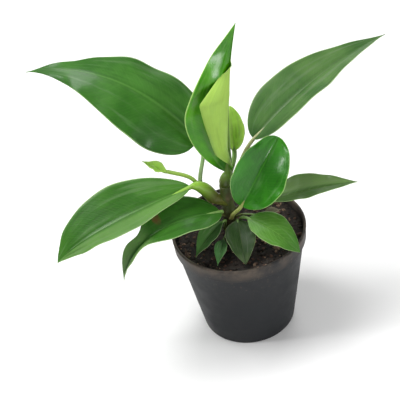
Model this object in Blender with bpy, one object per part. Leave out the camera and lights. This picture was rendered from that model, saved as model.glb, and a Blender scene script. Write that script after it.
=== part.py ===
"""Potted philodendron: a nursery pot, its soil, the stem and one solid per leaf.

Units are metres and +Z is up. The pot stands on z = 0 and is centred on the
Z axis. +Y is the back of the plant and +X its right-hand side. Leaf positions
are typed in millimetres, then scaled by MM.
"""
import math

import bmesh
import bpy
from mathutils import Vector

MM = 0.001

# pot, in millimetres
POT_HEIGHT = 105.0
RIM_RADIUS = 60.0
FOOT_RADIUS = 43.0
COLLAR_HEIGHT = 13.0
COLLAR_STEP = 2.6
WALL = 1.6
FLOOR = 2.5
DRAIN_HOLES = 6
DRAIN_RADIUS = 4.5
DRAIN_CIRCLE = 30.0
POT_SIDES = 48

# soil, in millimetres
SOIL_TOP = 96.5
SOIL_DOME = 1.5
SOIL_BUMP = 0.7
SOIL_SIDES = 40
FIT_GAP = 0.3

# stem, in millimetres
STEM_AXIS = (-6.5, 4.0)
STEM_RADIUS = 6.2
STEM_BOTTOM = 62.0
STEM_TOP = 150.0
STEM_KNOTS = (112.0, 124.0, 137.0, 146.0)
KNOT_RISE = 0.5
STEM_SIDES = 16

# leaves
BLADE_THICKNESS = 0.7
MARGIN_THICKNESS = 0.45
PETIOLE_RINGS = 5
RIB_HALF_WIDTH = 2.0
TIP_HALF_WIDTH = 0.4

# Each leaf: root is where its petiole leaves the stem, neck where the blade
# starts, tip where it ends. face is the way its upper side looks. arch and
# sweep bow the midrib towards face and sideways, peak is where along the blade
# the bow is strongest. width is the full blade, left and right scale its
# halves, fold is how far each half is lifted in degrees at the neck and at the
# tip, widest is where along the blade it is widest, base and point say how
# sharply it narrows. stalk is the petiole's radius at the root and the neck,
# and swell above 1 keeps it thick for longer. flap is a half that is rolled over.
LEAVES = [
    dict(name="leaf_back_left", root=(-27.5, 5.6, 156), neck=(-23.5, 22, 186), tip=(-166, 80, 243),
         face=(0.25, -0.55, 0.8), arch=27, sweep=11, width=78, left=0.98, right=0.88,
         fold=(-14, -10), widest=0.24, base=0.34, point=1.4, stalk=(1.9, 1.6), rings=18),
    dict(name="leaf_upright_young", root=(-6.3, 4, 152.8), neck=(-2.5, 5, 162), tip=(18, 10, 299),
         face=(-0.2, -0.9, 0.2), arch=4, sweep=-3, width=72, fold=(12, 20), curl=(20, 20),
         widest=0.46, base=0.75, point=1.1, stalk=(5.4, 3.6), swell=3.0, rings=26, steps=6,
         flap=dict(width=42, end=0.77, widest=0.76, fold=60, curl=120)),
    dict(name="leaf_bud", root=(-4.6, 12, 144), neck=(5, 22, 172), tip=(6, 24, 216),
         face=(0.25, -0.9, 0.2), arch=-3, width=27, left=0.75, right=0.95, fold=(20, 10),
         curl=(50, 50), widest=0.45, base=0.5, point=0.6, stalk=(2.2, 2.2), rings=12),
    dict(name="leaf_upper_right", root=(1.1, 8.2, 139), neck=(22.5, 14, 186.5), tip=(148, 80, 232),
         face=(-0.3, -0.4, 0.9), arch=13, width=48, left=1.08, right=0.88, fold=(26, 14),
         widest=0.26, base=0.5, point=1.3, stalk=(2.2, 1.6), rings=16),
    dict(name="leaf_cupped", root=(-4.9, -4.6, 119), neck=(5, -16, 140.5), tip=(42.5, 0, 195),
         face=(-0.05, -0.8, 0.5), arch=6, width=51, left=0.9, right=1.06, fold=(20, 20),
         curl=(10, 24), widest=0.5, base=0.58, point=0.5, stalk=(2.0, 1.6), rings=16),
    dict(name="leaf_mid_right", root=(1.9, 3.6, 123), neck=(28.5, -2, 131), tip=(106, -6, 142),
         face=(0, -0.25, 1), arch=3, width=34, right=0.55, fold=(12, 10), widest=0.35,
         base=0.8, point=1.1, stalk=(1.8, 1.4), rings=12),
    dict(name="leaf_low_right", root=(0.8, -1.1, 108.4), neck=(9, -16, 126), tip=(49, -46, 106),
         face=(0.1, -0.3, 1), arch=6, width=31, fold=(15, 10), base=0.8, point=0.9,
         stalk=(1.6, 1.2), rings=10),
    dict(name="leaf_low_front", root=(-4.1, -4.9, 103), neck=(0, -9, 119), tip=(2, -48, 102),
         face=(0, -0.3, 1), arch=5, width=27, fold=(20, 15), base=0.8, point=0.9,
         stalk=(1.5, 1.1), rings=10),
    dict(name="leaf_low_left", root=(-12.3, -2.7, 106), neck=(-12.5, -11, 122), tip=(-40, -32, 103),
         face=(-0.1, -0.3, 1), arch=5, width=19, fold=(25, 15), stalk=(1.4, 1.1), rings=9),
    dict(name="leaf_low_tiny", root=(-9.5, -4.6, 101.5), neck=(-14, -21, 110), tip=(-22, -45, 102),
         face=(0, -0.3, 1), arch=3, width=12, fold=(25, 15), stalk=(1.1, 0.9), rings=7),
    dict(name="leaf_front_left", root=(-14.1, -0.4, 122), neck=(-14, -10, 132), tip=(-104, -42, 96),
         face=(-0.3, -0.35, 0.9), peak=0.62, arch=30, width=50, left=0.85, right=0.95,
         fold=(8, 42), widest=0.27, base=0.5, point=1.2, waist=(0.6, 0.5, 0.12),
         stalk=(2.0, 1.6), rings=20),
    dict(name="leaf_arching_left", root=(-18.9, 2.7, 139), neck=(-36, -5, 159), tip=(-156, -40, 124),
         face=(-0.2, -0.4, 0.9), peak=0.75, arch=12, width=62, left=0.58, fold=(14, 14),
         widest=0.36, base=0.65, point=1.0, stalk=(6.0, 2.0), swell=3.0, rings=14),
    dict(name="leaf_left_shoot", root=(-32, 2.6, 159.2), neck=(-54, 9, 168), tip=(-74, 10, 182),
         face=(0, -0.5, 0.8), arch=-3, width=15, fold=(50, 50), stalk=(1.8, 1.8), rings=8),
    dict(name="leaf_withered", root=(0.1, -0.4, 117), neck=(24, -8, 122), tip=(38, -8, 124),
         face=(0, -0.5, 0.8), arch=2, width=8, fold=(30, 30), stalk=(1.0, 0.8), rings=6),
]


def clear_scene():
    for item in list(bpy.data.objects):
        bpy.data.objects.remove(item, do_unlink=True)


def material(name, colour, roughness):
    made = bpy.data.materials.new(name)
    made.use_nodes = True
    shader = made.node_tree.nodes["Principled BSDF"]
    shader.inputs["Base Color"].default_value = (*colour, 1.0)
    shader.inputs["Roughness"].default_value = roughness
    return made


def finish(name, vertices, faces, made, smooth=True):
    """One object from points in millimetres, its faces turned outward."""
    mesh = bpy.data.meshes.new(name)
    mesh.from_pydata([Vector(v) * MM for v in vertices], [], faces)
    body = bmesh.new()
    body.from_mesh(mesh)
    bmesh.ops.recalc_face_normals(body, faces=body.faces)
    body.to_mesh(mesh)
    body.free()
    for face in mesh.polygons:
        face.use_smooth = smooth
    mesh.materials.append(made)
    thing = bpy.data.objects.new(name, mesh)
    bpy.context.scene.collection.objects.link(thing)
    return thing


def wall_radius(height):
    """Outer radius of the pot's tapered wall at a height, in millimetres."""
    top = RIM_RADIUS - COLLAR_STEP
    return FOOT_RADIUS + (top - FOOT_RADIUS) * height / (POT_HEIGHT - COLLAR_HEIGHT)


def boolean_cut(target, cutter):
    cut = target.modifiers.new("cut", "BOOLEAN")
    cut.operation = "DIFFERENCE"
    cut.solver = "EXACT"
    cut.object = cutter
    cutter.hide_render = True
    cutter.display_type = "WIRE"


def make_pot(made):
    """Tapered pot with a collar band, a flat foot and drain holes."""
    step = POT_HEIGHT - COLLAR_HEIGHT
    outside = [(0.0, 0.0), (FOOT_RADIUS - 1.0, 0.0), (FOOT_RADIUS, 1.0),
               (wall_radius(step), step), (RIM_RADIUS - 1.0, step),
               (RIM_RADIUS - 0.6, step + 0.6), (RIM_RADIUS, POT_HEIGHT - 0.8),
               (RIM_RADIUS - 0.5, POT_HEIGHT)]
    inside = [(RIM_RADIUS - WALL - 0.6, POT_HEIGHT), (RIM_RADIUS - WALL - 1.0, step + 1.0),
              (wall_radius(step) - WALL, step - 1.5),
              (wall_radius(FLOOR) - WALL, FLOOR), (0.0, FLOOR)]
    points = []
    faces = []
    rings = []
    for radius, height in outside + inside:
        if radius == 0.0:
            rings.append([len(points)])
            points.append((0.0, 0.0, height))
            continue
        ring = []
        for k in range(POT_SIDES):
            angle = 2 * math.pi * k / POT_SIDES
            ring.append(len(points))
            points.append((radius * math.cos(angle), radius * math.sin(angle), height))
        rings.append(ring)
    for low, high in zip(rings, rings[1:]):
        for k in range(POT_SIDES):
            following = (k + 1) % POT_SIDES
            if len(low) == 1:
                faces.append((low[0], high[k], high[following]))
            elif len(high) == 1:
                faces.append((low[k], low[following], high[0]))
            else:
                faces.append((low[k], low[following], high[following], high[k]))
    pot = finish("pot", points, faces, made)
    centres = []
    for k in range(DRAIN_HOLES):
        angle = 2 * math.pi * (k + 0.5) / DRAIN_HOLES
        centres.append((DRAIN_CIRCLE * math.cos(angle), DRAIN_CIRCLE * math.sin(angle)))
    boolean_cut(pot, rods("drain_cutter", centres, DRAIN_RADIUS, -2.0, FLOOR + 2.0, 16, made))
    return pot


def rods(name, centres, radius, low, high, sides, made):
    """Plain upright cylinders in one mesh, used as a cutter."""
    points = []
    faces = []
    for centre in centres:
        first = len(points)
        for height in (low, high):
            for k in range(sides):
                angle = 2 * math.pi * k / sides
                points.append((centre[0] + radius * math.cos(angle),
                               centre[1] + radius * math.sin(angle), height))
        faces.append(tuple(range(first, first + sides)))
        faces.append(tuple(range(first + sides, first + 2 * sides)))
        for k in range(sides):
            low_a = first + k
            low_b = first + (k + 1) % sides
            faces.append((low_a, low_b, low_b + sides, low_a + sides))
    return finish(name, points, faces, made)


def soil_height(radius, angle):
    """Height of the lightly domed, uneven soil surface."""
    share = radius / (RIM_RADIUS - WALL)
    wave = math.sin(3 * angle + 0.6) + 0.7 * math.sin(5 * angle + 9 * share)
    return SOIL_TOP + SOIL_DOME * (1 - share * share) + SOIL_BUMP * share * wave


def make_soil(made):
    """Soil filling the pot, with a socket for the foot of the stem."""
    step = POT_HEIGHT - COLLAR_HEIGHT
    gap = FIT_GAP + 0.1
    shares = (0.34, 0.62, 0.84, 1.0)
    top_radius = RIM_RADIUS - WALL - 1.0 - gap
    low = FLOOR + FIT_GAP
    sides_profile = [(wall_radius(low) - WALL - gap - 0.1, low),
                     (wall_radius(step) - WALL - gap - 0.2, step - 1.8)]
    points = [(0.0, 0.0, low)]
    rings = [[0]]
    for radius, height in sides_profile:
        ring = []
        for k in range(SOIL_SIDES):
            angle = 2 * math.pi * k / SOIL_SIDES
            ring.append(len(points))
            points.append((radius * math.cos(angle), radius * math.sin(angle), height))
        rings.append(ring)
    for share in reversed(shares):
        ring = []
        for k in range(SOIL_SIDES):
            angle = 2 * math.pi * k / SOIL_SIDES
            radius = top_radius * share
            ring.append(len(points))
            points.append((radius * math.cos(angle), radius * math.sin(angle),
                           soil_height(radius, angle)))
        rings.append(ring)
    rings.append([len(points)])
    points.append((*STEM_AXIS, soil_height(0.0, 0.0)))
    faces = []
    for below, above in zip(rings, rings[1:]):
        for k in range(SOIL_SIDES):
            following = (k + 1) % SOIL_SIDES
            if len(below) == 1:
                faces.append((below[0], above[k], above[following]))
            elif len(above) == 1:
                faces.append((below[k], below[following], above[0]))
            else:
                faces.append((below[k], below[following], above[following], above[k]))
    soil = finish("potting_soil", points, faces, made)
    socket = rods("socket_cutter", [STEM_AXIS], STEM_RADIUS + FIT_GAP, STEM_BOTTOM - FIT_GAP,
                  SOIL_TOP + 20.0, STEM_SIDES, made)
    boolean_cut(soil, socket)
    return soil


def make_stem(made):
    """Upright stem, straight in the soil and knotted where leaves leave it."""
    heights = [STEM_BOTTOM, SOIL_TOP + 4.0]
    for knot in STEM_KNOTS:
        heights += [knot - 2.5, knot, knot + 2.5]
    heights += [STEM_TOP - 1.5, STEM_TOP]
    heights = sorted(set(heights))
    rings = []
    points = []
    for height in heights:
        slim = max(0.0, (height - SOIL_TOP) / (STEM_TOP - SOIL_TOP))
        radius = STEM_RADIUS - 0.8 * slim
        if height in STEM_KNOTS:
            radius += KNOT_RISE
        ring = []
        for k in range(STEM_SIDES):
            angle = 2 * math.pi * k / STEM_SIDES
            ring.append(len(points))
            points.append((STEM_AXIS[0] + radius * math.cos(angle),
                           STEM_AXIS[1] + radius * math.sin(angle), height))
        rings.append(ring)
    faces = [tuple(rings[0]), tuple(rings[-1])]
    for below, above in zip(rings, rings[1:]):
        for k in range(STEM_SIDES):
            following = (k + 1) % STEM_SIDES
            faces.append((below[k], below[following], above[following], above[k]))
    return finish("main_stem", points, faces, made)


def leaf_frames(leaf):
    """Point, tangent, side, up and share for each ring of the petiole and blade.

    The share runs from -1 at the root to 0 at the neck and 1 at the tip.
    """
    root = Vector(leaf["root"])
    neck = Vector(leaf["neck"])
    tip = Vector(leaf["tip"])
    face = Vector(leaf["face"]).normalized()
    along = (tip - neck).normalized()
    up = (face - along * face.dot(along)).normalized()
    side = along.cross(up)
    bow = neck + (tip - neck) * leaf.get("peak", 0.5)
    bow += 2 * leaf.get("arch", 0.0) * up + 2 * leaf.get("sweep", 0.0) * side
    reach = (neck - root).length
    start = ((neck - root).normalized() * 0.6 + Vector((0, 0, 0.6))).normalized()
    end = (bow - neck).normalized()
    path = []
    for k in range(PETIOLE_RINGS):
        u = k / PETIOLE_RINGS
        point = root * (2 * u ** 3 - 3 * u ** 2 + 1) + neck * (3 * u ** 2 - 2 * u ** 3)
        point += reach * (start * (u ** 3 - 2 * u ** 2 + u) + end * (u ** 3 - u ** 2))
        slope = (neck - root) * (6 * u - 6 * u * u)
        slope += reach * (start * (3 * u * u - 4 * u + 1) + end * (3 * u * u - 2 * u))
        path.append((point, slope.normalized(), u - 1))
    rings = leaf["rings"]
    for k in range(rings):
        u = k / rings
        point = neck * (1 - u) ** 2 + bow * 2 * u * (1 - u) + tip * u * u
        slope = (bow - neck) * (1 - u) + (tip - bow) * u
        path.append((point, slope.normalized(), u))
    frames = []
    for point, slope, share in reversed(path):
        toward = face if share >= 0 else up
        up = (toward - slope * toward.dot(slope)).normalized()
        frames.append((point, slope, slope.cross(up), up, share))
    return frames[::-1]


def taper(share, widest, base, point):
    """Blade width along its length, 0 at both ends and 1 at the widest."""
    if share <= 0.0 or share >= 1.0:
        return 0.0
    if share < widest:
        return math.cos((1 - share / widest) * math.pi / 2) ** base
    return math.cos((share - widest) / (1 - widest) * math.pi / 2) ** point


def half_width(leaf, share, hand):
    """Half of the blade's width on one hand, in millimetres."""
    flap = leaf.get("flap")
    if flap and hand > 0:
        part = share / flap["end"]
        rise = part / flap["widest"]
        fall = max(0.0, (1 - part) / (1 - flap["widest"]))
        return flap["width"] * min(rise ** 0.8, fall ** 1.1)
    widest = leaf.get("widest", 0.4)
    width = taper(share, widest, leaf.get("base", 1.0), leaf.get("point", 1.4))
    width *= leaf["width"] / 2
    if "waist" in leaf:
        where, depth, spread = leaf["waist"]
        width *= 1 - depth * math.exp(-((share - where) / spread) ** 2)
    return width * leaf.get("right" if hand > 0 else "left", 1.0)


def half_section(leaf, frame, hand, steps):
    """Middle line of half a blade, from the midrib to the margin, with normals."""
    point, slope, side, up, share = frame
    share = max(share, 0.0)
    flap = leaf.get("flap")
    width = half_width(leaf, share, hand)
    if flap and hand > 0:
        open_share = min(1.0, width / 13.0, share / 0.2)
        lift, curl = flap["fold"] * open_share, flap["curl"] * open_share
    else:
        fold = leaf["fold"]
        lift = fold[0] + (fold[1] - fold[0]) * share
        bend = leaf.get("curl", (0.0, 0.0))
        curl = bend[0] + (bend[1] - bend[0]) * share
    width = max(width, TIP_HALF_WIDTH, petiole_radius(leaf, share) if share < 0.3 else 0.0)
    here = Vector(point)
    line = [here.copy()]
    turns = []
    for j in range(steps):
        rib = min(width / steps, RIB_HALF_WIDTH)
        stride = rib if j == 0 else (width - rib) / (steps - 1)
        angle = math.radians(lift + curl * (j + 0.5) / steps)
        turns.append(angle)
        here = here + (side * hand * math.cos(angle) + up * math.sin(angle)) * stride
        line.append(here.copy())
    normals = []
    for j in range(1, steps):
        angle = (turns[j - 1] + turns[j]) / 2
        normals.append(up * math.cos(angle) - side * hand * math.sin(angle))
    return line, normals


def petiole_radius(leaf, share):
    """Radius of the petiole, and of the midrib that goes on from it."""
    thick, thin = leaf["stalk"]
    if share <= 0:
        return thick + (thin - thick) * (share + 1) ** leaf.get("swell", 1.0)
    return thin * (1 - share) ** 1.5


def leaf_ring(leaf, frame, steps):
    """One ring of points: right margin, upper side, left margin, lower side."""
    point, slope, side, up, share = frame
    radius = petiole_radius(leaf, share)
    count = 4 * steps
    round_ring = []
    for k in range(count):
        angle = 2 * math.pi * k / count
        round_ring.append(point + (side * math.cos(angle) + up * math.sin(angle)) * radius)
    if share <= 0:
        return round_ring
    right, right_normals = half_section(leaf, frame, 1, steps)
    left, left_normals = half_section(leaf, frame, -1, steps)
    upper_right = []
    lower_right = []
    upper_left = []
    lower_left = []
    right_width = (right[-1] - right[0]).length
    left_width = (left[-1] - left[0]).length
    for j in range(1, steps):
        thin = BLADE_THICKNESS + (MARGIN_THICKNESS - BLADE_THICKNESS) * j / steps
        thin_right = min(thin, right_width * 0.5) / 2
        thin_left = min(thin, left_width * 0.5) / 2
        upper_right.append(right[j] + right_normals[j - 1] * thin_right)
        lower_right.append(right[j] - right_normals[j - 1] * thin_right)
        upper_left.append(left[j] + left_normals[j - 1] * thin_left)
        lower_left.append(left[j] - left_normals[j - 1] * thin_left)
    thin = min(BLADE_THICKNESS, max(right_width, left_width) * 0.6)
    crest = point + up * thin * 0.4
    keel = point - up * max(radius, thin * 0.6)
    ring = [right[-1]] + upper_right[::-1] + [crest] + upper_left + [left[-1]]
    ring += lower_left[::-1] + [keel] + lower_right
    blend = min(1.0, share / 0.12)
    blend = blend * blend * (3 - 2 * blend)
    return [a.lerp(b, blend) for a, b in zip(round_ring, ring)]


def make_leaf(leaf, made):
    """One closed solid: a round petiole that flattens into a folded blade."""
    steps = leaf.get("steps", 3)
    frames = leaf_frames(leaf)
    rings = [leaf_ring(leaf, frame, steps) for frame in frames]
    count = 4 * steps
    points = [frames[0][0] - frames[0][1] * leaf["stalk"][0] * 0.4]
    for ring in rings:
        points += ring
    points.append(Vector(leaf["tip"]))
    last = len(points) - 1
    faces = []
    for k in range(count):
        following = (k + 1) % count
        faces.append((0, 1 + following, 1 + k))
        faces.append((last - count + k, last - count + following, last))
    for r in range(len(rings) - 1):
        below = 1 + r * count
        above = below + count
        for k in range(count):
            a, b = below + k, below + (k + 1) % count
            c, d = above + (k + 1) % count, above + k
            # both sides of the blade are split along the same diagonal
            if k < 2 * steps:
                faces += [(a, b, c), (a, c, d)]
            else:
                faces += [(a, b, d), (b, c, d)]
    return finish(leaf["name"], points, faces, made)


def main():
    clear_scene()
    plastic = material("pot_plastic", (0.045, 0.048, 0.055), 0.55)
    earth = material("potting_soil", (0.018, 0.011, 0.008), 0.95)
    bark = material("stem_green", (0.16, 0.14, 0.05), 0.6)
    green = material("leaf_green", (0.06, 0.19, 0.05), 0.4)
    bright = material("young_green", (0.16, 0.36, 0.06), 0.35)
    dull = material("old_leaf", (0.07, 0.13, 0.06), 0.5)
    tones = {
        "leaf_upright_young": bright, "leaf_bud": bright, "leaf_left_shoot": bright,
        "leaf_low_front": dull, "leaf_low_left": dull, "leaf_low_tiny": dull,
        "leaf_withered": dull,
    }
    make_pot(plastic)
    make_soil(earth)
    make_stem(bark)
    for leaf in LEAVES:
        make_leaf(leaf, tones.get(leaf["name"], green))


main()
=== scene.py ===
import math
import random

import bmesh
import bpy
from mathutils import Matrix, Vector, noise


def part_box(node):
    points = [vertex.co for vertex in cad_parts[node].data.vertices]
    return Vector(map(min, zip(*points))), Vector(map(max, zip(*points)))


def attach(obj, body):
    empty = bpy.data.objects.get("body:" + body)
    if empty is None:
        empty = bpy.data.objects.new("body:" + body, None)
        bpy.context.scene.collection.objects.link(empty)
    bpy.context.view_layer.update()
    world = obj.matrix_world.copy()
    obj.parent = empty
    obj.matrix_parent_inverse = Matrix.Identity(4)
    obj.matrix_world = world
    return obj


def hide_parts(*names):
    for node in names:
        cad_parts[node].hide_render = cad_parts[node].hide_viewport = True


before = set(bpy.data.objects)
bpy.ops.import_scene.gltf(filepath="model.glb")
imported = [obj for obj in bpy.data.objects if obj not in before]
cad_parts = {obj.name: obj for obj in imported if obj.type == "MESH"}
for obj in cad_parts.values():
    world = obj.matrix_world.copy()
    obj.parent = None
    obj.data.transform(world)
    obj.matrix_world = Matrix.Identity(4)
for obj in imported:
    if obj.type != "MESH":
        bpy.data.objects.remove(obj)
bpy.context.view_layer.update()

potTall = 105.0  # the pot's height in millimetres, which sets the scale of everything below
potLow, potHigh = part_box("pot")
mm = (potHigh.z - potLow.z) / potTall
base = Vector(((potLow.x + potHigh.x) / 2, (potLow.y + potHigh.y) / 2, potLow.z))
zUp = Vector((0, 0, 1))


def place(x, y, z):  # a spot on the plant, in millimetres from the middle of the pot's foot
    return base + Vector((x, y, z)) * mm


def moveToFrame(body):  # shapes are made in millimetres round the middle of the pot's foot
    bmesh.ops.scale(body, vec=(mm, mm, mm), verts=body.verts)
    bmesh.ops.translate(body, vec=base, verts=body.verts)


def turnOutline(outline, steps):  # spins an outline of (radius, height) into a closed solid
    body = bmesh.new()
    points = [body.verts.new((r, 0, z)) for r, z in outline]
    edges = [body.edges.new(pair) for pair in zip(points, points[1:])]
    bmesh.ops.spin(body, geom=points + edges, axis=(0, 0, 1), cent=(0, 0, 0), angle=2 * math.pi,
                   steps=steps, use_merge=True)
    bmesh.ops.remove_doubles(body, verts=body.verts, dist=0.01)
    return body


def newMaterial(name):
    made = bpy.data.materials.new(name)
    made.use_nodes = True
    tree = made.node_tree
    shader = tree.nodes["Principled BSDF"]
    return made, tree, shader


def plug(tree, value, socket):  # a number or colour is set, a socket is wired
    if isinstance(value, bpy.types.NodeSocket):
        tree.links.new(value, socket)
    elif isinstance(value, (tuple, list)) and len(value) == 3 and socket.type == "RGBA":
        socket.default_value = (*value, 1.0)
    else:
        socket.default_value = value


def calc(tree, operation, *values):
    node = tree.nodes.new("ShaderNodeMath")
    node.operation = operation
    for k, value in enumerate(values):
        plug(tree, value, node.inputs[k])
    return node.outputs[0]


def ease(tree, value, low, high, outLow=0.0, outHigh=1.0):  # smooth step between two levels
    node = tree.nodes.new("ShaderNodeMapRange")
    node.interpolation_type = "SMOOTHSTEP"
    plug(tree, value, node.inputs["Value"])
    plug(tree, low, node.inputs["From Min"])
    plug(tree, high, node.inputs["From Max"])
    plug(tree, outLow, node.inputs["To Min"])
    plug(tree, outHigh, node.inputs["To Max"])
    return node.outputs["Result"]


def mixColour(tree, share, first, second):
    node = tree.nodes.new("ShaderNodeMix")
    node.data_type = "RGBA"
    plug(tree, share, node.inputs[0])
    plug(tree, first, node.inputs[6])
    plug(tree, second, node.inputs[7])
    return node.outputs[2]


def darker(colour, share):
    return tuple(share * c for c in colour)


def objectSpot(tree):
    return tree.nodes.new("ShaderNodeTexCoord").outputs["Object"]


def cloud(tree, spot, scale, detail=3.0, roughness=0.5, stretch=None):
    if stretch:
        mapping = tree.nodes.new("ShaderNodeMapping")
        tree.links.new(spot, mapping.inputs["Vector"])
        mapping.inputs["Scale"].default_value = stretch
        spot = mapping.outputs["Vector"]
    node = tree.nodes.new("ShaderNodeTexNoise")
    tree.links.new(spot, node.inputs["Vector"])
    node.inputs["Scale"].default_value = scale
    node.inputs["Detail"].default_value = detail
    node.inputs["Roughness"].default_value = roughness
    return node.outputs["Fac"]


def readMark(tree, name):  # a number stored on the mesh's points
    node = tree.nodes.new("ShaderNodeAttribute")
    node.attribute_name = name
    return node.outputs["Fac"]


def roughen(tree, shader, height, strength, distance):
    bump = tree.nodes.new("ShaderNodeBump")
    bump.inputs["Strength"].default_value = strength
    bump.inputs["Distance"].default_value = distance
    tree.links.new(height, bump.inputs["Height"])
    tree.links.new(bump.outputs["Normal"], shader.inputs["Normal"])


def glow(shader, share):  # light passes a little way through leaves and petioles
    shader.inputs["Subsurface Weight"].default_value = share
    shader.inputs["Subsurface Scale"].default_value = 0.002
    shader.inputs["Subsurface Radius"].default_value = (0.5, 1.0, 0.25)


def makeObject(name, body, materials, smooth=True):
    mesh = bpy.data.meshes.new(name)
    body.to_mesh(mesh)
    body.free()
    for material in materials:
        mesh.materials.append(material)
    for face in mesh.polygons:
        face.use_smooth = smooth
    made = bpy.data.objects.new(name, mesh)
    bpy.context.scene.collection.objects.link(made)
    return made


# the finish of each kind of leaf: its darkest and main colours, its midrib, margin and underside,
# how dull it is, how varnished, and how clearly the midrib's line shows
greens = {
    "mature": dict(deep=(0.030, 0.100, 0.012), main=(0.060, 0.155, 0.024), rib=(0.13, 0.26, 0.06),
                   edge=(0.34, 0.50, 0.20), under=(0.12, 0.23, 0.07), rough=0.42, coat=0.12, ribShow=0.35),
    "greyGreen": dict(deep=(0.052, 0.125, 0.036), main=(0.095, 0.185, 0.055), rib=(0.16, 0.27, 0.10),
                      edge=(0.42, 0.54, 0.28), under=(0.18, 0.29, 0.12), rough=0.46, coat=0.06, ribShow=0.25),
    "glossy": dict(deep=(0.016, 0.105, 0.004), main=(0.034, 0.180, 0.008), rib=(0.12, 0.32, 0.05),
                   edge=(0.30, 0.50, 0.14), under=(0.10, 0.24, 0.05), rough=0.28, coat=0.38, ribShow=0.25),
    "young": dict(deep=(0.028, 0.185, 0.000), main=(0.090, 0.375, 0.001), rib=(0.24, 0.55, 0.05),
                  edge=(0.50, 0.75, 0.22), under=(0.38, 0.59, 0.105), rough=0.30, coat=0.42, ribShow=0.30),
    "bud": dict(deep=(0.300, 0.520, 0.080), main=(0.440, 0.680, 0.140), rib=(0.34, 0.55, 0.10),
                edge=(0.45, 0.62, 0.20), under=(0.24, 0.42, 0.07), rough=0.28, coat=0.35, ribShow=0.2),
    "dull": dict(deep=(0.026, 0.075, 0.020), main=(0.050, 0.110, 0.034), rib=(0.12, 0.18, 0.08),
                 edge=(0.22, 0.30, 0.14), under=(0.08, 0.14, 0.05), rough=0.50, coat=0.02, ribShow=0.45),
    "withered": dict(deep=(0.10, 0.085, 0.055), main=(0.22, 0.20, 0.14), rib=(0.30, 0.27, 0.18),
                     edge=(0.34, 0.30, 0.20), under=(0.20, 0.17, 0.10), rough=0.7, coat=0.0, ribShow=0.3),
}


# what all leaf skins share: the sizes of their patterns, larger numbers being finer,
# how strongly each shows, painted sheen and painted shade among them, and how they shine
leafLook = dict(patches=26.0, fine=420.0, wobble=34.0, wobbleBy=0.07, bandsAcross=2.6, bandsAlong=1.3,
                sheenBands=0.42, creaseShadeBands=0.45, fineVeins=0.04, fibres=0.30, grooveShade=0.22, margin=0.85,
                brown=(0.17, 0.060, 0.030), brownShow=0.75, freckles=260.0, coatRough=0.17, shine=0.14,
                glow=0.12, stalkGlow=0.1, bumpShow=0.4, bumpDepth=0.0005)


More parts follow.
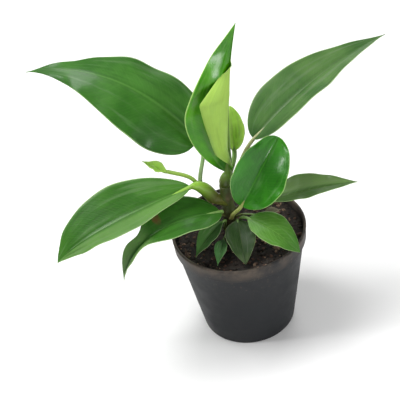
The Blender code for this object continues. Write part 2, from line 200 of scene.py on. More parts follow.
def leafSkin(name, tone, leaf, side):
    look = leafLook
    veins, paintedSheen, browning = leaf["veins"], leaf["paintedSheen"], leaf["browning"]
    made, tree, shader = newMaterial(name)
    spot = objectSpot(tree)
    signed = readMark(tree, "across")
    across = calc(tree, "ABSOLUTE", signed)
    reach = readMark(tree, "reach")
    patches = cloud(tree, spot, look["patches"], 4.0, 0.55)
    fine = cloud(tree, spot, look["fine"], 2.0)
    if side == "upper":
        colour = mixColour(tree, ease(tree, patches, 0.34, 0.68), tone["deep"], tone["main"])
    else:
        colour = mixColour(tree, ease(tree, patches, 0.3, 0.7), tone["under"], darker(tone["under"], 0.78))
    # painted sheen: the left half, the right half or both are lightened, from a share of the length onwards
    for hand, share in zip((-1.0, 1.0), paintedSheen):
        if share and side == "upper":
            half = ease(tree, calc(tree, "MULTIPLY", signed, hand), 0.02, 0.30, 0.0, share)
            half = calc(tree, "MULTIPLY", half, ease(tree, reach, paintedSheen[2] - 0.05, paintedSheen[2] + 0.1))
            light = tuple((a + b) / 2 for a, b in zip(tone["rib"], tone["edge"]))
            colour = mixColour(tree, half, colour, light)
    # painted sheen along the raised lengthwise bands and painted shade in the lengthwise creases, different
    # on each half
    lay = tree.nodes.new("ShaderNodeCombineXYZ")
    tree.links.new(calc(tree, "MULTIPLY", signed, look["bandsAcross"]), lay.inputs[0])
    tree.links.new(calc(tree, "MULTIPLY", reach, look["bandsAlong"]), lay.inputs[1])
    lay.inputs[2].default_value = len(name) * 0.7
    bands = cloud(tree, lay.outputs[0], 1.6, 3.0, 0.55)
    sheenTone = tuple(0.55 * c + 0.07 for c in tone["rib"])
    colour = mixColour(tree, ease(tree, bands, 0.51, 0.70, 0.0, look["sheenBands"]), colour, sheenTone)
    own = tone["deep"] if side == "upper" else tone["under"]
    creaseShadeShare = ease(tree, bands, 0.46, 0.30, 0.0, look["creaseShadeBands"])
    colour = mixColour(tree, creaseShadeShare, colour, darker(own, 0.6))
    # side veins run from the midrib forward to the margin
    slant = calc(tree, "MULTIPLY", calc(tree, "POWER", across, 1.25), leaf["slant"])
    wobble = calc(tree, "MULTIPLY", cloud(tree, spot, look["wobble"], 3.0), look["wobbleBy"])
    phase = calc(tree, "ADD", calc(tree, "SUBTRACT", reach, slant), wobble)
    wave = calc(tree, "ABSOLUTE", calc(tree, "SINE", calc(tree, "MULTIPLY", phase, veins * math.pi)))
    veinLine = ease(tree, wave, 0.0, 0.45, 1.0, 0.0)
    fade = calc(tree, "MULTIPLY", ease(tree, across, 0.75, 1.0, 1.0, 0.2),
                ease(tree, patches, 0.3, 0.7, 0.15, 1.0))
    veinShare = calc(tree, "MULTIPLY", calc(tree, "MULTIPLY", veinLine, fade), leaf["veinShow"])
    colour = mixColour(tree, veinShare, colour, tone["rib"])
    finePhase = calc(tree, "SINE", calc(tree, "MULTIPLY", phase, veins * 6.0 * math.pi))
    streaks = calc(tree, "MULTIPLY", ease(tree, finePhase, 0.2, 1.0), look["fineVeins"])
    colour = mixColour(tree, streaks, colour, tone["rib"])
    if side == "under":  # a mottled lower face with fine lines along it
        fibres = cloud(tree, lay.outputs[0], 9.0, 3.0, 0.6, (3.0, 0.35, 1.0))
        lines = ease(tree, fibres, 0.5, 0.66, 0.0, look["fibres"])
        colour = mixColour(tree, lines, colour, darker(own, 0.62))
    # painted shade in the groove beside the midrib, and a thin line of the rib's colour along it
    grooveShade = ease(tree, across, 0.02, 0.20, look["grooveShade"], 0.0)
    colour = mixColour(tree, grooveShade, colour, darker(own, 0.5))
    ribWidth = ease(tree, reach, 0.0, 1.0, 0.055, 0.026)
    ribLine = ease(tree, across, calc(tree, "MULTIPLY", ribWidth, 0.2), ribWidth, tone["ribShow"], 0.0)
    colour = mixColour(tree, ribLine, colour, tone["rib"])
    if side == "upper":
        margin = ease(tree, across, 0.965, 0.995, 0.0, look["margin"])
        colour = mixColour(tree, margin, colour, tone["edge"])
    if browning and side == "upper":  # a damaged spot at (across, reach), with a few freckles round it
        offAcross = calc(tree, "DIVIDE", calc(tree, "SUBTRACT", signed, browning["across"]), browning["wide"])
        offReach = calc(tree, "DIVIDE", calc(tree, "SUBTRACT", reach, browning["reach"]), browning["long"])
        away = calc(tree, "ADD", calc(tree, "POWER", calc(tree, "ABSOLUTE", offAcross), 2.0),
                    calc(tree, "POWER", calc(tree, "ABSOLUTE", offReach), 2.0))
        freckles = cloud(tree, spot, look["freckles"], 3.0, 0.6)
        ragged = calc(tree, "ADD", away, calc(tree, "MULTIPLY", freckles, 1.6))
        colour = mixColour(tree, ease(tree, ragged, 0.7, 2.3, look["brownShow"], 0.0), colour, look["brown"])
    tree.links.new(colour, shader.inputs["Base Color"])
    low, high = (-0.05, 0.08) if side == "upper" else (0.12, 0.25)
    rough = ease(tree, patches, 0.3, 0.7, tone["rough"] + low, tone["rough"] + high)
    tree.links.new(rough, shader.inputs["Roughness"])
    shader.inputs["Coat Weight"].default_value = tone["coat"] if side == "upper" else 0.0
    shader.inputs["Coat Roughness"].default_value = look["coatRough"]
    shader.inputs["Specular IOR Level"].default_value = look["shine"]
    glow(shader, look["glow"])
    relief = calc(tree, "ADD", calc(tree, "MULTIPLY", veinLine, -0.15), calc(tree, "MULTIPLY", fine, 0.25))
    relief = calc(tree, "ADD", relief, calc(tree, "MULTIPLY", bands, 1.6))
    roughen(tree, shader, relief, look["bumpShow"], look["bumpDepth"])
    return made


def stalkSkin(name, foot, head):  # petioles: from the colour at the stem to the colour at the blade
    made, tree, shader = newMaterial(name)
    spot = objectSpot(tree)
    reach = readMark(tree, "reach")
    colour = mixColour(tree, ease(tree, reach, -1.0, -0.2), foot, head)
    streak = cloud(tree, spot, 260.0, 3.0, 0.6, (1.0, 1.0, 0.25))
    colour = mixColour(tree, ease(tree, streak, 0.5, 0.75, 0.0, 0.4), colour, darker(foot, 0.6))
    tree.links.new(colour, shader.inputs["Base Color"])
    tree.links.new(ease(tree, streak, 0.3, 0.7, 0.32, 0.5), shader.inputs["Roughness"])
    glow(shader, leafLook["stalkGlow"])
    roughen(tree, shader, streak, 0.3, 0.0003)
    return made


# What a leaf has unless it says otherwise. Lengths are in millimetres, angles in degrees.
# root, neck and tip: where the petiole leaves the stem, where the blade starts and where it ends
# joint: where the petiole's foot is buried, if that isn't straight below its root
# face: the way the upper side looks; arch and sweep bow the blade up and sideways, most at peak
# left and right: how wide each half is, as a share of half the width
# fold and curl: how far each half is raised and rolled, at the neck and at the tip
# flap: a right half that is rolled over the leaf; waist: a pinch, as (where, depth, spread)
# stalk: the petiole's radius at the stem and at the blade; swell: how soon it thins
# paintedSheen: painted sheen, how much it lightens the left and the right half, and from which share of the
# length
# slant, veins, veinShow and quilt: the side veins' slope, number, colour and relief
# wavy: how far the margin waves; bulges: swellings of one half, at (across, reach)
# browning: a damaged spot, at (across, reach); along and across: how finely the blade is divided
leafBasics = dict(tint=(1.0, 1.0, 1.0), paintedSheen=(0.0, 0.0, 0.0), browning=None, swell=1.0, peak=0.5, arch=0.0,
                  sweep=0.0, left=1.0, right=1.0, curl=(0.0, 0.0), widest=0.4, neckSharp=1.0, tipSharp=1.4,
                  along=56, across=20, wavy=0.8, veins=16, veinShow=0.07, slant=0.20, quilt=0.06,
                  bulges=(), foot=(0.12, 0.14, 0.04), head=(0.16, 0.30, 0.07), slot="leaf")

leaves = {
    "leaf_back_left": dict(
        root=(-27.5, 5.6, 156), joint=(-27, 1, 153), neck=(-23.5, 22, 186), tip=(-166, 80, 243),
        face=(0.25, -0.55, 0.8), arch=27, sweep=11, width=78, left=0.98, right=0.88, fold=(-14, -10),
        widest=0.24, neckSharp=0.34, tipSharp=1.4, stalk=(1.9, 1.6), tone="mature", along=96,
        across=28, wavy=2.2, tint=(0.80, 1.05, 0.80), foot=(0.20, 0.30, 0.12), head=(0.20, 0.34, 0.12)),
    "leaf_upright_young": dict(
        root=(-6.3, 4, 152.8), joint=(-6.5, 4, 147), neck=(-2.5, 5, 162), tip=(18, 10, 299),
        face=(-0.2, -0.9, 0.2), arch=4, sweep=-3, width=72, fold=(12, 20), curl=(20, 20), widest=0.46,
        neckSharp=0.75, tipSharp=1.1, stalk=(5.4, 3.6), swell=3.0, tone="young", along=96, across=36,
        wavy=0.6, slot="young_leaf", flap=dict(width=42, end=0.77, widest=0.76, fold=60, curl=120),
        bulges=[dict(across=-0.5, reach=0.64, wide=0.8, long=0.16, rise=9.0)],
        foot=(0.07, 0.10, 0.015), head=(0.14, 0.26, 0.03)),
    "leaf_bud": dict(
        root=(-4.6, 12, 144), neck=(5, 22, 172), tip=(6, 24, 216), face=(0.25, -0.9, 0.2), arch=-3,
        width=27, left=0.75, right=0.95, fold=(20, 10), curl=(50, 50), widest=0.45, neckSharp=0.5,
        tipSharp=0.6, stalk=(2.2, 2.2), tone="bud", slot="young_leaf", wavy=0.2, tint=(1.4, 1.3, 1.4)),
    "leaf_upper_right": dict(
        root=(1.1, 8.2, 139), neck=(22.5, 14, 186.5), tip=(148, 80, 232), face=(-0.3, -0.4, 0.9),
        arch=13, width=48, fold=(26, 14), widest=0.26, left=1.08, right=0.88, neckSharp=0.5, tipSharp=1.3,
        stalk=(2.2, 1.6), tone="greyGreen", along=96, across=28, wavy=1.0, tint=(0.9, 0.95, 0.85),
        foot=(0.22, 0.17, 0.08), head=(0.36, 0.38, 0.17)),
    "leaf_cupped": dict(
        root=(-4.9, -4.6, 119), neck=(5, -16, 140.5), tip=(42.5, 0, 195), face=(-0.05, -0.8, 0.5),
        arch=6, width=51, left=0.9, right=1.06, fold=(20, 20), curl=(10, 24), widest=0.5,
        neckSharp=0.58, tipSharp=0.5, stalk=(2.0, 1.6), tone="glossy", along=72, across=28, wavy=0.8,
        veins=9, tint=(0.95, 1.25, 0.8), foot=(0.22, 0.22, 0.06), head=(0.30, 0.36, 0.09)),
    "leaf_mid_right": dict(
        root=(1.9, 3.6, 123), neck=(28.5, -2, 131), tip=(106, -6, 142), face=(0, -0.25, 1),
        arch=3, width=34, right=0.55, fold=(12, 10), widest=0.35, neckSharp=0.8, tipSharp=1.1,
        stalk=(1.8, 1.4), tone="mature", wavy=0.9, tint=(1.02, 0.88, 0.96), veins=12, veinShow=0.5,
        slant=0.45, quilt=0.15, paintedSheen=(0.38, 0.0, 0.0)),
    "leaf_low_right": dict(
        root=(0.8, -1.1, 108.4), neck=(9, -16, 126), tip=(49, -46, 106), face=(0.1, -0.3, 1),
        arch=6, width=31, fold=(15, 10), neckSharp=0.8, tipSharp=0.9, stalk=(1.6, 1.2),
        tone="mature", veins=10, tint=(1.35, 1.45, 1.15), veinShow=0.35, slant=0.40),
    "leaf_low_front": dict(
        root=(-4.1, -4.9, 103), neck=(0, -9, 119), tip=(2, -48, 102), face=(0, -0.3, 1),
        arch=5, width=27, fold=(20, 15), neckSharp=0.8, tipSharp=0.9, stalk=(1.5, 1.1),
        tone="dull", veins=10, slot="dull_leaf", tint=(0.5, 0.5, 0.38), veinShow=0.35, slant=0.75,
        paintedSheen=(0.30, 0.30, 0.80)),
    "leaf_low_left": dict(
        root=(-12.3, -2.7, 106), neck=(-12.5, -11, 122), tip=(-40, -32, 103), face=(-0.1, -0.3, 1),
        arch=5, width=19, fold=(25, 15), stalk=(1.4, 1.1), tone="dull", veins=10, slot="dull_leaf",
        tint=(1.5, 1.7, 1.3)),
    "leaf_low_tiny": dict(
        root=(-9.5, -4.6, 101.5), neck=(-14, -21, 110), tip=(-22, -45, 102), face=(0, -0.3, 1),
        arch=3, width=12, fold=(25, 15), stalk=(1.1, 0.9), tone="dull", veins=8, slot="dull_leaf",
        along=36, across=14, tint=(2.4, 2.6, 2.6)),
    "leaf_front_left": dict(
        root=(-14.1, -0.4, 122), neck=(-14, -10, 132), tip=(-104, -42, 96), face=(-0.3, -0.35, 0.9),
        peak=0.62, arch=30, width=50, left=0.85, right=0.95, fold=(8, 42), widest=0.27, neckSharp=0.5,
        tipSharp=1.2, waist=(0.60, 0.5, 0.12), stalk=(2.0, 1.6), tone="mature", along=84, across=24,
        wavy=0.8, tint=(0.58, 0.86, 0.54), paintedSheen=(0.60, 0.55, 0.52),
        browning=dict(across=0.52, reach=0.415, wide=0.30, long=0.032)),
    "leaf_arching_left": dict(
        root=(-18.9, 2.7, 139), neck=(-36, -5, 159), tip=(-156, -40, 124), face=(-0.2, -0.4, 0.9),
        peak=0.75, arch=12, width=62, left=0.58, fold=(14, 14), widest=0.36, neckSharp=0.65,
        tipSharp=1.0, stalk=(6.0, 2.0), swell=3.0, tone="mature", along=96, across=28, wavy=1.0,
        foot=(0.10, 0.11, 0.018), head=(0.22, 0.42, 0.035), paintedSheen=(0.32, 0.0, 0.0), tint=(0.86, 1.08, 0.70)),
    "leaf_left_shoot": dict(
        root=(-32, 2.6, 159.2), joint=(-28, -0.5, 156), neck=(-54, 9, 168), tip=(-74, 10, 182),
        face=(0, -0.5, 0.8), arch=-3, width=15, fold=(50, 50), stalk=(1.8, 1.8), tone="bud", veins=8,
        slot="young_leaf", paintedSheen=(0.5, 0.5, 0.6), along=36, across=14, foot=(0.22, 0.36, 0.05),
        head=(0.26, 0.42, 0.06)),
    "leaf_withered": dict(
        root=(0.1, -0.4, 117), neck=(24, -8, 122), tip=(38, -8, 124), face=(0, -0.5, 0.8),
        arch=2, width=8, fold=(30, 30), stalk=(1.0, 0.8), tone="withered", slot="dull_leaf",
        along=28, across=12, wavy=0.4),
}


# joinDrop: how far below its root a petiole meets the stem's axis
# thins: how much thinner the stem gets over the length thinOver, upwards from thinFrom
stemFacts = dict(spot=(-6.5, 4.0), radius=6.2, bottom=62.0, top=150.0, knots=(112.0, 124.0, 137.0),
                 knotRise=0.5, knotLong=1.6, thins=0.8, thinFrom=98.0, thinOver=52.0, joinDrop=7.0,
                 rings=60, sides=20, low=(0.035, 0.030, 0.012), high=(0.060, 0.085, 0.018),
                 bark=(0.090, 0.055, 0.022))


# what all leaves share: the blade's thickness, its margin's two waves, the dip along its midrib,
# the rings and sides of the petiole and midrib, and where and how thin the midrib ends
leafBuild = dict(wall=0.5, leastWidth=0.3, longWave=17.0, shortWave=31.0, dip=0.35, dipWide=1.6,
                 stalkRings=18, ribRings=30, ribEnd=0.94, ribThin=0.22, sides=12)


def taper(share, widest, neckSharp, tipSharp):  # 0 at both ends of the blade, 1 where it is widest
    if share <= 0.0 or share >= 1.0:
        return 0.0
    if share < widest:
        return math.cos((1 - share / widest) * math.pi / 2) ** neckSharp
    return math.cos((share - widest) / (1 - widest) * math.pi / 2) ** tipSharp


def halfWidth(leaf, share, hand):
    flap = leaf.get("flap")
    if flap and hand > 0:  # the rolled half has a straight-sided, pointed outline
        part = share / flap["end"]
        rise, fall = part / flap["widest"], (1 - part) / (1 - flap["widest"])
        return flap["width"] * max(0.0, min(rise ** 0.8, fall ** 1.1) if fall > 0 else 0.0)
    width = leaf["width"] / 2 * taper(share, leaf["widest"], leaf["neckSharp"], leaf["tipSharp"])
    if "waist" in leaf:  # a pinch where the blade is creased
        where, depth, spread = leaf["waist"]
        width *= 1 - depth * math.exp(-((share - where) / spread) ** 2)
    return width * (leaf["right"] if hand > 0 else leaf["left"])


def stalkRadius(leaf, share):
    thick, thin = leaf["stalk"]
    if share <= 0:
        return thick + (thin - thick) * (share + 1) ** leaf["swell"]
    return thin * (1 - share) ** 1.5  # it runs on under the blade as the midrib


def leafPath(leaf):  # the line a leaf follows: root, neck, a bow held up by the arch, tip
    root, neck, tip = Vector(leaf["root"]), Vector(leaf["neck"]), Vector(leaf["tip"])
    face = Vector(leaf["face"]).normalized()
    along = (tip - neck).normalized()
    up = (face - along * face.dot(along)).normalized()
    bow = neck + (tip - neck) * leaf["peak"] + 2 * leaf["arch"] * up + 2 * leaf["sweep"] * along.cross(up)
    start = ((neck - root).normalized() * 0.6 + zUp * 0.6).normalized()
    return dict(root=root, neck=neck, tip=tip, face=face, bow=bow, reach=(neck - root).length,
                start=start, end=(bow - neck).normalized())


def onBlade(path, u):  # point, slope, side and up at a share of the blade's length
    neck, bow, tip = path["neck"], path["bow"], path["tip"]
    point = neck * (1 - u) ** 2 + bow * 2 * u * (1 - u) + tip * u * u
    slope = ((bow - neck) * (1 - u) + (tip - bow) * u).normalized()
    up = (path["face"] - slope * path["face"].dot(slope)).normalized()
    return point, slope, slope.cross(up), up


def onStalk(path, count):  # rings from root to neck, turned from the neck back so that they don't twist
    root, neck, reach = path["root"], path["neck"], path["reach"]
    up = onBlade(path, 0.0)[3]
    found = []
    for k in range(count + 1):
        u = 1 - k / count
        point = root * (2 * u ** 3 - 3 * u ** 2 + 1) + neck * (3 * u ** 2 - 2 * u ** 3)
        point += reach * (path["start"] * (u ** 3 - 2 * u ** 2 + u) + path["end"] * (u ** 3 - u ** 2))
        slope = (neck - root) * (6 * u - 6 * u * u)
        slope += reach * (path["start"] * (3 * u * u - 4 * u + 1) + path["end"] * (3 * u * u - 2 * u))
        slope.normalize()
        up = (up - slope * up.dot(slope)).normalized()
        found.append((point, slope, slope.cross(up), up, u - 1))
    return found[::-1]


def bladePoint(leaf, path, across, share):
    point, slope, side, up = onBlade(path, share)
    hand = 1 if across >= 0 else -1
    q = abs(across)  # 0 at the midrib, 1 at the margin
    width = halfWidth(leaf, share, hand)
    flap = leaf.get("flap")
    if flap and hand > 0:  # the roll eases in from the neck and fades out in the flap's point
        lift = flap["fold"] * min(1.0, width / 5.0, share / 0.2)
        curl = flap["curl"] * min(1.0, width / 13.0, share / 0.2)
    else:
        lift = leaf["fold"][0] + (leaf["fold"][1] - leaf["fold"][0]) * share
        curl = leaf["curl"][0] + (leaf["curl"][1] - leaf["curl"][0]) * share
    width = max(width, leafBuild["leastWidth"])
    lift, curl = math.radians(lift), math.radians(curl)
    if abs(curl) < 0.01:  # flat across
        outward, upward = width * q * math.cos(lift), width * q * math.sin(lift)
        turn = lift
    else:  # rolled to an arc
        outward = width * (math.sin(lift + curl * q) - math.sin(lift)) / curl
        upward = width * (math.cos(lift) - math.cos(lift + curl * q)) / curl
        turn = lift + curl * q
    spot = point + side * hand * outward + up * upward
    normal = up * math.cos(turn) - side * hand * math.sin(turn)
    # margin waves, a sunken midrib and quilting between the side veins
    room = min(1.0, width / 12.0)
    wave = math.sin(share * leafBuild["longWave"] + 1.3 * hand + path["root"].x)
    wave += 0.5 * math.sin(share * leafBuild["shortWave"] + path["root"].y)
    rise = leaf["wavy"] * room * wave * q ** 2.2 * 0.8
    rise -= leafBuild["dip"] * room * math.exp(-(q * width / leafBuild["dipWide"]) ** 2)
    phase = share - leaf["slant"] * q ** 1.25
    quilt = abs(math.sin(phase * leaf["veins"] * math.pi)) ** 0.6
    rise += leaf["quilt"] * room * (quilt - 0.6) * math.sin(min(q, 1.0) * math.pi) ** 0.7
    for bulge in leaf["bulges"]:
        off = ((across - bulge["across"]) / bulge["wide"]) ** 2
        off += ((share - bulge["reach"]) / bulge["long"]) ** 2
        if across * bulge["across"] > 0:  # it fades out at the midrib
            rise += bulge["rise"] * math.exp(-off) * math.sin(min(1.0, q / 0.35) * math.pi / 2)
    return spot + normal * rise


def ringMatrix(ring):
    centre, slope, side, up, radius = ring
    matrix = Matrix((side * radius, up * radius, -slope * radius)).transposed().to_4x4()
    matrix.translation = centre
    return matrix


# grows a tube through rings of (centre, slope, side, up, radius)
def sweepTube(body, rings, sides, marks, shares):
    across, reach = marks
    first = bmesh.ops.create_circle(body, cap_ends=False, radius=1.0, segments=sides,
                                    matrix=ringMatrix(rings[0]))["verts"]
    firstSet = set(first)
    edges = [e for e in body.edges if e.verts[0] in firstSet and e.verts[1] in firstSet]
    for v in first:
        v[reach] = shares[0]
    firstEdges = edges
    for before, ring, share in zip(rings, rings[1:], shares[1:]):
        grown = bmesh.ops.extrude_edge_only(body, edges=edges)["geom"]
        newVerts = [g for g in grown if isinstance(g, bmesh.types.BMVert)]
        kept = set(newVerts)
        edges = [g for g in grown if isinstance(g, bmesh.types.BMEdge)
                 and g.verts[0] in kept and g.verts[1] in kept]
        bmesh.ops.transform(body, matrix=ringMatrix(ring) @ ringMatrix(before).inverted(), verts=newVerts)
        for v in newVerts:
            v[reach] = share
            v[across] = 0.0
    bmesh.ops.edgeloop_fill(body, edges=firstEdges)
    bmesh.ops.edgeloop_fill(body, edges=edges)


def makeLeaf(name, leaf):
    leaf = {**leafBasics, **leaf}
    path = leafPath(leaf)
    tone = dict(greens[leaf["tone"]])
    for part in ("deep", "main", "rib", "under"):
        tone[part] = tuple(min(0.9, c * t) for c, t in zip(tone[part], leaf["tint"]))  # kept below white
    skins = [leafSkin(name + "_upper", tone, leaf, "upper"),
             leafSkin(name + "_under", tone, leaf, "under"),
             stalkSkin(name + "_stalk", leaf["foot"], leaf["head"])]

    blade = bmesh.new()
    across = blade.verts.layers.float.new("across")
    reach = blade.verts.layers.float.new("reach")
    bmesh.ops.create_grid(blade, x_segments=leaf["across"], y_segments=leaf["along"], size=1.0)
    for v in blade.verts:
        u = (v.co.y + 1) / 2
        q = math.copysign(abs(v.co.x) ** 0.85, v.co.x)
        v[across] = q
        u = u - 0.07 * math.sin(2 * math.pi * u)  # rings sit closer at both ends
        v[reach] = u
        v.co = bladePoint(leaf, path, q, u)
    bmesh.ops.remove_doubles(blade, verts=blade.verts, dist=0.02)
    bmesh.ops.recalc_face_normals(blade, faces=blade.faces)
    heart, slope, side, up = onBlade(path, 0.4)
    middle = min(blade.faces, key=lambda face: (face.calc_center_median() - heart).length)
    if middle.normal.dot(up) < 0:  # the upper side has to look up before the wall is added
        bmesh.ops.reverse_faces(blade, faces=blade.faces)
    sheet = makeObject(name + "_sheet", blade, skins)
    wall = sheet.modifiers.new("wall", "SOLIDIFY")
    wall.thickness = leafBuild["wall"]
    wall.offset = 0.0
    wall.material_offset = 1
    wall.material_offset_rim = 0
    graph = bpy.context.evaluated_depsgraph_get()
    walled = bpy.data.meshes.new_from_object(sheet.evaluated_get(graph))

    body = bmesh.new()
    body.from_mesh(walled)
    bpy.data.objects.remove(sheet)
    across = body.verts.layers.float["across"]
    reach = body.verts.layers.float["reach"]
    count = len(body.faces)
    rings = []
    shares = []
    stalk = onStalk(path, leafBuild["stalkRings"])
    point, slope, side, up, share = stalk[0]
    inner = Vector(leaf.get("joint", (*stemFacts["spot"], point.z - stemFacts["joinDrop"])))
    rings.append((inner, slope, side, up, stalkRadius(leaf, share) * 0.97))
    shares.append(-1.05)
    for point, slope, side, up, share in stalk:
        rings.append((point, slope, side, up, stalkRadius(leaf, share)))
        shares.append(share)
    for k in range(1, leafBuild["ribRings"] + 1):  # the midrib, sunk until it just shows underneath
        u = k / leafBuild["ribRings"] * leafBuild["ribEnd"]
        point, slope, side, up = onBlade(path, u)
        radius = max(stalkRadius(leaf, u), leafBuild["ribThin"])
        sink = max(0.0, radius - 0.12) * min(1.0, u / 0.10) + 0.35 * min(1.0, u / 0.1)
        rings.append((point - up * sink, slope, side, up, radius))
        shares.append(u)
    sweepTube(body, rings, leafBuild["sides"], (across, reach), shares)
    body.faces.ensure_lookup_table()
    for face in body.faces[count:]:
        face.material_index = 2
    bmesh.ops.recalc_face_normals(body, faces=body.faces[count:])
    moveToFrame(body)
    made = makeObject(name.replace("leaf_", "grown_leaf_"), body, skins)
    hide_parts(name)
    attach(made, "root")
    print(name, "faces", len(made.data.polygons))


print("leaves")
for leafName, leafFacts in leaves.items():
    makeLeaf(leafName, leafFacts)


def stemSkin():
    f = stemFacts
    made, tree, shader = newMaterial("stem_green")
    spot = objectSpot(tree)
    reach = readMark(tree, "reach")
    streak = cloud(tree, spot, 180.0, 4.0, 0.6, (1.0, 1.0, 0.3))
    colour = mixColour(tree, ease(tree, reach, 0.35, 0.9), f["low"], f["high"])
    colour = mixColour(tree, ease(tree, streak, 0.48, 0.7, 0.0, 0.7), colour, f["bark"])
    tree.links.new(colour, shader.inputs["Base Color"])
    tree.links.new(ease(tree, streak, 0.3, 0.7, 0.4, 0.65), shader.inputs["Roughness"])
    roughen(tree, shader, streak, 0.5, 0.0005)
    return made


def makeStem():
    f = stemFacts
    body = bmesh.new()
    across = body.verts.layers.float.new("across")
    reach = body.verts.layers.float.new("reach")
    rings = []
    shares = []
    for k in range(f["rings"]):
        share = k / (f["rings"] - 1)
        z = f["bottom"] + (f["top"] - f["bottom"]) * share
        radius = f["radius"] - f["thins"] * max(0.0, (z - f["thinFrom"]) / f["thinOver"])
        for knot in f["knots"]:
            radius += f["knotRise"] * math.exp(-((z - knot) / f["knotLong"]) ** 2)
        rings.append((Vector((*f["spot"], z)), zUp, Vector((1, 0, 0)), Vector((0, 1, 0)), radius))
        shares.append(share)
    sweepTube(body, rings, f["sides"], (across, reach), shares)
    bmesh.ops.recalc_face_normals(body, faces=body.faces)
    moveToFrame(body)
    made = makeObject("grown_stem", body, [stemSkin()])
    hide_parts("main_stem")
    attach(made, "root")


print("stem")
makeStem()


# radii and heights; step is how far the collar stands out over the wall, holeTurns a drain hole's
# width in steps of the full turn
potFacts = dict(height=potTall, rim=60.0, foot=43.0, collar=13.0, step=2.6, wall=1.6, floor=2.5,
                turns=128, holes=6, holeIn=25.5, holeOut=34.5, holeTurns=6,
                black=(0.006, 0.007, 0.009), grey=(0.013, 0.015, 0.017), dust=(0.15, 0.115, 0.085),
                dustFrom=88, dustTo=104, dustShow=0.65,
                crumb=(0.10, 0.07, 0.05), crumbsFrom=60, crumbsTo=104, crumbsShow=0.5)


def potSkin():
    f = potFacts
    made, tree, shader = newMaterial("pot_plastic")
    spot = objectSpot(tree)
    height = tree.nodes.new("ShaderNodeSeparateXYZ")
    tree.links.new(spot, height.inputs[0])
    z = height.outputs["Z"]
    scuff = cloud(tree, spot, 34.0, 5.0, 0.6)
    speck = cloud(tree, spot, 300.0, 3.0, 0.6)
    colour = mixColour(tree, ease(tree, scuff, 0.35, 0.7), f["black"], f["grey"])
    # dried soil dust round the collar, and specks of soil thinning out below it
    dust = calc(tree, "MULTIPLY", ease(tree, scuff, 0.32, 0.62),
                ease(tree, z, base.z + f["dustFrom"] * mm, base.z + f["dustTo"] * mm))
    colour = mixColour(tree, calc(tree, "MULTIPLY", dust, f["dustShow"]), colour, f["dust"])
    crumbs = calc(tree, "MULTIPLY", ease(tree, speck, 0.60, 0.68),
                  ease(tree, z, base.z + f["crumbsFrom"] * mm, base.z + f["crumbsTo"] * mm))
    colour = mixColour(tree, calc(tree, "MULTIPLY", crumbs, f["crumbsShow"]), colour, f["crumb"])
    tree.links.new(colour, shader.inputs["Base Color"])
    tree.links.new(ease(tree, scuff, 0.3, 0.7, 0.46, 0.66), shader.inputs["Roughness"])
    shader.inputs["Specular IOR Level"].default_value = 0.25
    roughen(tree, shader, speck, 0.15, 0.0003)
    return made


def wallAt(z):  # the pot's outer radius below its collar
    f = potFacts
    return f["foot"] + (f["rim"] - f["step"] - f["foot"]) * z / (f["height"] - f["collar"])


def makePot():
    f = potFacts
    ledge = f["height"] - f["collar"]
    rim, top, wall, foot = f["rim"], f["height"], f["wall"], f["foot"]
    floorTop, inside = f["floor"], f["rim"] - f["wall"]
    # up the outside, over the rim and down the inside
    outline = [(0, 0), (f["holeIn"], 0), (f["holeOut"], 0), (foot - 1.4, 0), (foot - 0.4, 0.3), (foot, 1.2),
               (wallAt(30), 30), (wallAt(60), 60), (wallAt(ledge) - 0.1, ledge - 0.6),
               (wallAt(ledge) + 0.2, ledge - 0.1), (rim - 1.1, ledge), (rim - 0.7, ledge + 0.5),
               (rim - 0.35, top - 4), (rim, top - 2.2), (rim, top - 0.9), (rim - 0.5, top - 0.1),
               (rim - 1.1, top), (inside - 0.6, top - 0.3), (inside - 0.9, top - 1.2),
               (inside - 1.0, ledge + 1), (wallAt(ledge) - wall, ledge - 1.5), (wallAt(60) - wall, 60),
               (wallAt(30) - wall, 30), (wallAt(floorTop) - wall - 0.3, floorTop + 0.6),
               (wallAt(floorTop) - wall - 1.2, floorTop), (f["holeOut"], floorTop), (f["holeIn"], floorTop),
               (0, floorTop)]
    body = turnOutline(outline, f["turns"])
    bmesh.ops.recalc_face_normals(body, faces=body.faces)
    # drain holes: matching faces of the floor are taken out above and below, then joined
    middle = (f["holeIn"] + f["holeOut"]) / 2
    for k in range(f["holes"]):
        angle = 2 * math.pi * (k + 0.5) / f["holes"]
        found = []
        for face in body.faces:
            c = face.calc_center_median()
            if abs(c.xy.length - middle) > 1.5 or c.z > f["floor"] + 0.1:
                continue
            away = (math.atan2(c.y, c.x) - angle + math.pi) % (2 * math.pi) - math.pi
            if abs(away) < math.pi * f["holeTurns"] / f["turns"]:
                found.append(face)
        loops = set()
        for face in found:
            loops.update(e for e in face.edges if sum(g in found for g in e.link_faces) == 1)
        bmesh.ops.delete(body, geom=found, context="FACES_ONLY")
        spare = [e for e in body.edges if not e.link_faces and e not in loops]
        bmesh.ops.delete(body, geom=spare, context="EDGES")
        bmesh.ops.bridge_loops(body, edges=[e for e in loops if e.is_valid])
    bmesh.ops.recalc_face_normals(body, faces=body.faces)
    moveToFrame(body)
    made = makeObject("nursery_pot", body, [potSkin()])
    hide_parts("pot")
    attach(made, "root")


print("pot")
makePot()


# the soil's height, how it domes and how lumpy it is, and its loose crumbs
soilFacts = dict(top=96.5, dome=1.5, bump=1.3, radius=57.0, gap=1.15, turns=120,
                 dark=(0.006, 0.005, 0.004), brown=(0.028, 0.019, 0.014), grit=(0.11, 0.06, 0.035),
                 crumbs=900, seed=7, spread=55.5, stemRoom=6.5, peat=(0.014, 0.010, 0.007),
                 bark=(0.075, 0.035, 0.020), straw=(0.26, 0.17, 0.11), damp=(0.03, 0.02, 0.015))


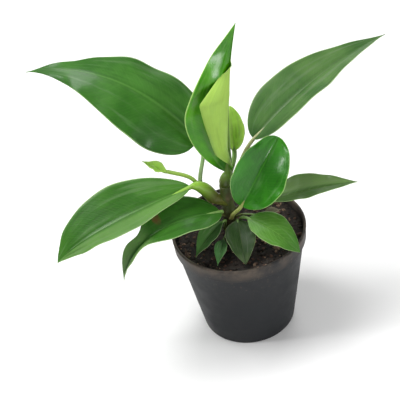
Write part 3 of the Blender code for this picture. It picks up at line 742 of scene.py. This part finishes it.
def soilSkin():
    f = soilFacts
    made, tree, shader = newMaterial("potting_soil")
    spot = objectSpot(tree)
    clumps = cloud(tree, spot, 120.0, 5.0, 0.65)
    grit = cloud(tree, spot, 700.0, 3.0, 0.6)
    colour = mixColour(tree, ease(tree, clumps, 0.35, 0.65), f["dark"], f["brown"])
    colour = mixColour(tree, ease(tree, grit, 0.58, 0.72, 0.0, 0.6), colour, f["grit"])
    tree.links.new(colour, shader.inputs["Base Color"])
    shader.inputs["Roughness"].default_value = 0.92
    relief = calc(tree, "ADD", clumps, calc(tree, "MULTIPLY", grit, 0.4))
    roughen(tree, shader, relief, 0.9, 0.0015)
    return made


def crumbSkin():
    f = soilFacts
    made, tree, shader = newMaterial("soil_crumbs")
    spot = objectSpot(tree)
    tint = readMark(tree, "tint")
    grit = cloud(tree, spot, 500.0, 3.0, 0.6)
    colour = mixColour(tree, ease(tree, tint, 0.45, 0.75), f["peat"], f["bark"])
    colour = mixColour(tree, ease(tree, tint, 0.86, 0.95), colour, f["straw"])
    colour = mixColour(tree, ease(tree, grit, 0.4, 0.7, 0.0, 0.5), colour, f["damp"])
    tree.links.new(colour, shader.inputs["Base Color"])
    shader.inputs["Roughness"].default_value = 0.85
    roughen(tree, shader, grit, 0.6, 0.0006)
    return made


def soilHeight(x, y):
    f = soilFacts
    share = Vector((x, y)).length / f["radius"]
    rough = noise.noise(Vector((x * 0.11, y * 0.11, 1.7)))
    rough += 0.5 * noise.noise(Vector((x * 0.31, y * 0.31, 5.0)))
    return f["top"] + f["dome"] * (1 - share * share) + f["bump"] * rough


def makeSoil():
    f = soilFacts
    edge = potFacts["rim"] - potFacts["wall"] - f["gap"]
    outline = [(r, f["top"]) for r in [0] + [1.4 * k for k in range(1, 40)]] + [(edge, f["top"])]
    # then down the pot's inside, a little clear of it, and back to the middle over its floor
    outline += [(edge, 94), (wallAt(90) - 2.0, 90.2), (wallAt(3) - 2.1, 2.9), (0, 2.9)]
    body = turnOutline(outline, f["turns"])
    for v in body.verts:
        if v.co.z > f["top"] - 1.5:  # only the surface is lumpy
            v.co.z = soilHeight(v.co.x, v.co.y) + 0.35 * noise.noise(v.co * 0.9)
    bmesh.ops.recalc_face_normals(body, faces=body.faces)
    moveToFrame(body)
    made = makeObject("soil_fill", body, [soilSkin()])
    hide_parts("potting_soil")
    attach(made, "root")


def makeCrumbs():
    f = soilFacts
    dice = random.Random(f["seed"])
    body = bmesh.new()
    tint = body.verts.layers.float.new("tint")
    for k in range(f["crumbs"]):
        radius = f["spread"] * math.sqrt(dice.random())
        angle = dice.uniform(0, 2 * math.pi)
        x, y = radius * math.cos(angle), radius * math.sin(angle)
        if (Vector((x, y)) - Vector(stemFacts["spot"])).length < f["stemRoom"]:
            continue
        size = dice.uniform(0.5, 1.5) * (1.0 if dice.random() < 0.85 else 1.6)
        size = min(size, f["radius"] - radius)
        flat = dice.uniform(0.35, 0.9)
        turn = Matrix.Rotation(dice.uniform(0, 6.28), 4, "Z")
        turn = turn @ Matrix.Rotation(dice.uniform(-0.6, 0.6), 4, "X")
        shape = Matrix.Diagonal((size * dice.uniform(0.8, 1.7), size, size * flat, 1.0))
        matrix = Matrix.Translation((x, y, soilHeight(x, y) + 0.2 * size)) @ turn @ shape
        made = bmesh.ops.create_icosphere(body, subdivisions=1 if size < 1.2 else 2, radius=1.0,
                                          matrix=matrix)
        shade = dice.random()
        for v in made["verts"]:
            v[tint] = shade
            v.co += (v.co - matrix.translation) * 0.35 * noise.noise(v.co * 0.7 + Vector((k, 0, 0)))
    bmesh.ops.recalc_face_normals(body, faces=body.faces)
    moveToFrame(body)
    made = makeObject("soil_crumbs", body, [crumbSkin()], smooth=False)
    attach(made, "root")


print("soil")
makeSoil()
makeCrumbs()


# the floor and the camera: distance is in metres from the middle of the pot's rim, aim in millimetres,
# and lean rolls the camera about its view line, in degrees like its elevation
studio = dict(floorSize=4.0, floorColour=(0.92, 0.92, 0.92), floorDrop=0.0002, world=0.30,
              aim=(-30, 0, 140), distance=0.8319, elevation=39.7147, rimHeight=potTall, lens=84.06,
              lean=9.14)


lights = {  # soft boxes, in metres and watts; the two small ones only put a shine on the glossy leaves
    "key": dict(spot=(-0.7, 0.1, 1.6), aim=(0, 0, 0.15), size=0.8, power=27.0),
    "fill": dict(spot=(1.3, -0.7, 1.1), aim=(0, 0, 0.15), size=1.0, power=6.0),
    "back": dict(spot=(0.4, 1.4, 1.2), aim=(0, 0, 0.15), size=1.0, power=10.0),
    "gloss_left": dict(spot=(-0.93, -0.15, 0.85), aim=(0, 0, 0.17), size=0.13, power=1.5),
    "gloss_front": dict(spot=(0.54, -1.02, 0.32), aim=(0, 0, 0.25), size=0.25, power=3.6),
}


def makeFloor():
    body = bmesh.new()
    bmesh.ops.create_grid(body, x_segments=8, y_segments=8, size=studio["floorSize"] / 2)
    bmesh.ops.translate(body, vec=(base.x, base.y, base.z - studio["floorDrop"]), verts=body.verts)
    made, tree, shader = newMaterial("studio_floor")
    shader.inputs["Base Color"].default_value = (*studio["floorColour"], 1.0)
    shader.inputs["Roughness"].default_value = 0.8
    floor = makeObject("studio_floor", body, [made])


def makeLight(name, f):
    data = bpy.data.lights.new(name, "AREA")
    data.shape = "SQUARE"
    data.size = f["size"]
    data.energy = f["power"]
    lamp = bpy.data.objects.new(name, data)
    lamp.location = base + Vector(f["spot"])
    lamp.rotation_mode = "QUATERNION"
    lamp.rotation_quaternion = (base + Vector(f["aim"]) - lamp.location).to_track_quat("-Z", "Y")
    bpy.context.scene.collection.objects.link(lamp)


def makeCamera():
    f = studio
    data = bpy.data.cameras.new("camera")
    data.sensor_width = 36.0
    data.lens = f["lens"]
    data.clip_start = 0.01
    cam = bpy.data.objects.new("camera", data)
    tilt = math.radians(f["elevation"])
    rimCentre = place(0, 0, f["rimHeight"])
    cam.location = rimCentre + Vector((0, -math.cos(tilt), math.sin(tilt))) * f["distance"]
    cam.rotation_mode = "QUATERNION"
    look = (place(*f["aim"]) - cam.location).to_track_quat("-Z", "Y")
    cam.rotation_quaternion = look @ Matrix.Rotation(math.radians(-f["lean"]), 3, "Z").to_quaternion()
    bpy.context.scene.collection.objects.link(cam)
    bpy.context.scene.camera = cam


print("studio")
makeFloor()
for lightName, lightFacts in lights.items():
    makeLight(lightName, lightFacts)
world = bpy.data.worlds.new("studio")
world.use_nodes = True
world.node_tree.nodes["Background"].inputs["Color"].default_value = (1, 1, 1, 1)
world.node_tree.nodes["Background"].inputs["Strength"].default_value = studio["world"]
bpy.context.scene.world = world
bpy.context.scene.view_settings.view_transform = "Standard"
makeCamera()
